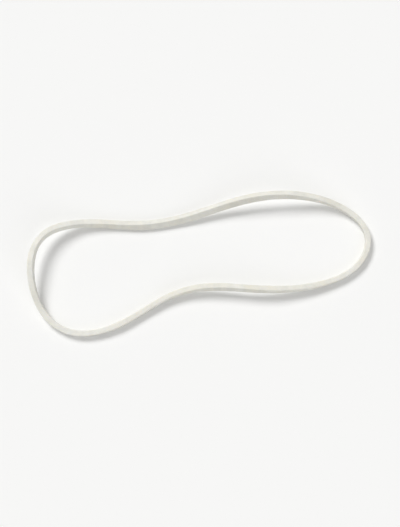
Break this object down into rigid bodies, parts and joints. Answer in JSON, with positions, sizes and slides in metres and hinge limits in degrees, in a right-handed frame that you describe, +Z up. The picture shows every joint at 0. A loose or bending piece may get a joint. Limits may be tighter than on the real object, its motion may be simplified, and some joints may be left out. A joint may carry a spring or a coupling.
{
  "type": "rubber band",
  "caption": "Off-white rubber band lying loose as a long wavy loop, sliced from a tube, with flat cut faces and smooth inner and outer skins.",
  "frame": {"origin": "on the surface that the band lies on, under the middle of its footprint", "axes": "+X along the loop's length, +Y across it, +Z up off the surface"},
  "size_m": [0.065, 0.0274, 0.0049],
  "materials": {
    "white_rubber": "matt off-white natural rubber, slightly creamy, with a dusting of talc"
  },
  "bodies": {
    "root": {"rubber_band": "white_rubber"}
  },
  "joints": []
}
